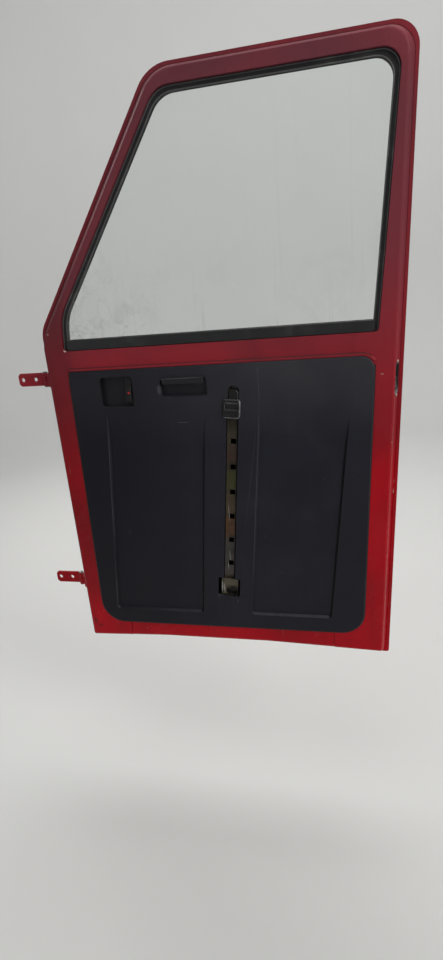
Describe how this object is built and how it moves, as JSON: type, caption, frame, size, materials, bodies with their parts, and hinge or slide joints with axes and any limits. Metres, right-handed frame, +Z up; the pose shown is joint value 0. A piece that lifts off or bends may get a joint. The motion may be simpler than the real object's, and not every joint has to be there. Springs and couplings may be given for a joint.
{
  "type": "cab door of a three-wheeled truck",
  "caption": "Pressed steel cab door with a sliding window, a perforated window-lift strip and catch in a moulded inner panel, a rim latch, an outer bow handle and butt hinges.",
  "frame": {"origin": "on the face of the pillar leaves that bolts to the cab's pillar, midway between the hinges", "axes": "+X from the hinges to the latch, +Y from the inner side to the outer side, +Z up along the hinge line"},
  "size_m": [0.8127, 0.0775, 1.1608],
  "materials": {
    "red_paint": "worn gloss",
    "panel_plastic": "fine grain, dusty",
    "seal_rubber": "matte",
    "window_glass": "clear, scratched",
    "plated_steel": "dull plating, rusty",
    "black_plastic": "satin",
    "hinge_steel": "satin"
  },
  "bodies": {
    "pillar_leaves": {"upper_pillar_leaf": "red_paint", "lower_pillar_leaf": "red_paint"},
    "door": {"front_stile": "red_paint", "window_pillar": "red_paint", "header": "red_paint", "rear_stile": "red_paint", "belt_rail": "red_paint", "bottom_rail": "red_paint", "outer_skin": "red_paint", "window_glass": "window_glass", "front_run": "seal_rubber", "top_run": "seal_rubber", "rear_run": "seal_rubber", "inner_sill_strip": "seal_rubber", "outer_sill_strip": "seal_rubber", "door_panel": "panel_plastic", "pull_pocket": "panel_plastic", "release_dish": "panel_plastic", "release_lever": "black_plastic", "glass_carrier": "hinge_steel", "lift_strip": "plated_steel", "strip_bracket": "plated_steel", "lift_catch": "black_plastic", "latch_case": "plated_steel", "latch_bolt": "hinge_steel", "outer_handle": "black_plastic", "handle_button": "black_plastic", "upper_door_leaf": "red_paint", "lower_door_leaf": "red_paint", "upper_pin": "hinge_steel", "lower_pin": "hinge_steel"}
  },
  "joints": [
    {"name": "door_hinge", "type": "hinge", "parent": "pillar_leaves", "child": "door", "pos_m": [0.041, -0.006, 0], "axis": [0, 0, 1], "range_deg": [-90, 0]}
  ]
}
